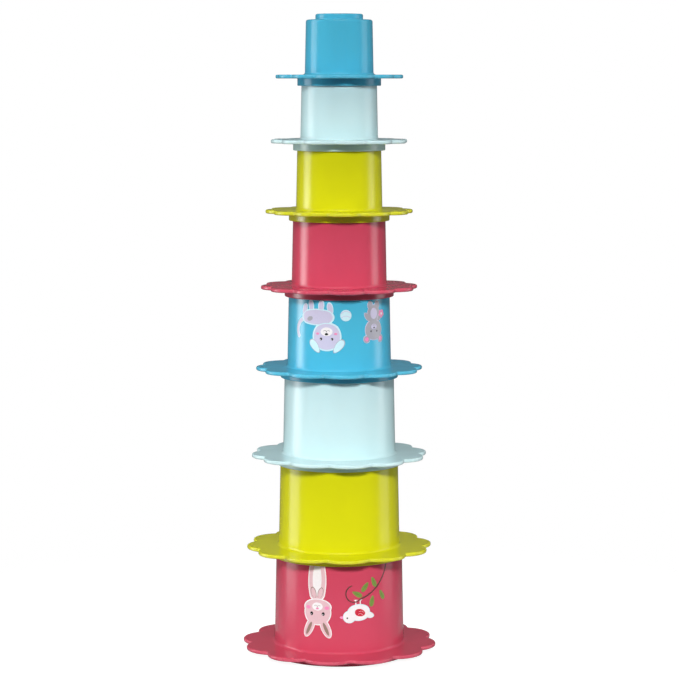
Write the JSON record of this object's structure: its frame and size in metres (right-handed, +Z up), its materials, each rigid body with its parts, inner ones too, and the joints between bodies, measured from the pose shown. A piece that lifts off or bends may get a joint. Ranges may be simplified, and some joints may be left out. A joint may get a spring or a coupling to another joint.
{
  "type": "stacking cup tower",
  "caption": "Tower of nesting toddler stacking cups stood mouth down, each a hollow drafted cup with a scalloped flange, a seating collar and a raised boss on its closed end.",
  "frame": {"origin": "centre of the rim that the tower stands on, at floor level", "axes": "+Z up along the cups' common axis, front with the printed animals towards -Y"},
  "size_m": [0.1348, 0.1348, 0.4437],
  "materials": {
    "blue_plastic": "semi-gloss moulded",
    "mint_plastic": "semi-gloss moulded",
    "lime_plastic": "semi-gloss moulded",
    "pink_plastic": "semi-gloss moulded"
  },
  "bodies": {
    "cup_1_blue": {"cup_1_blue": "blue_plastic"},
    "cup_2_mint": {"cup_2_mint": "mint_plastic"},
    "cup_3_lime": {"cup_3_lime": "lime_plastic"},
    "cup_4_pink": {"cup_4_pink": "pink_plastic"},
    "cup_5_blue": {"cup_5_blue": "blue_plastic"},
    "cup_6_mint": {"cup_6_mint": "mint_plastic"},
    "cup_7_lime": {"cup_7_lime": "lime_plastic"},
    "cup_8_pink": {"cup_8_pink": "pink_plastic"}
  },
  "joints": [
    {"name": "cup_7_lift", "type": "slide", "parent": "cup_8_pink", "child": "cup_7_lime", "axis": [0, 0, 1], "range_m": [0, 0.025]},
    {"name": "cup_6_lift", "type": "slide", "parent": "cup_7_lime", "child": "cup_6_mint", "axis": [0, 0, 1], "range_m": [0, 0.025]},
    {"name": "cup_5_lift", "type": "slide", "parent": "cup_6_mint", "child": "cup_5_blue", "axis": [0, 0, 1], "range_m": [0, 0.025]},
    {"name": "cup_4_lift", "type": "slide", "parent": "cup_5_blue", "child": "cup_4_pink", "axis": [0, 0, 1], "range_m": [0, 0.025]},
    {"name": "cup_3_lift", "type": "slide", "parent": "cup_4_pink", "child": "cup_3_lime", "axis": [0, 0, 1], "range_m": [0, 0.025]},
    {"name": "cup_2_lift", "type": "slide", "parent": "cup_3_lime", "child": "cup_2_mint", "axis": [0, 0, 1], "range_m": [0, 0.025]},
    {"name": "cup_1_lift", "type": "slide", "parent": "cup_2_mint", "child": "cup_1_blue", "axis": [0, 0, 1], "range_m": [0, 0.025]}
  ]
}
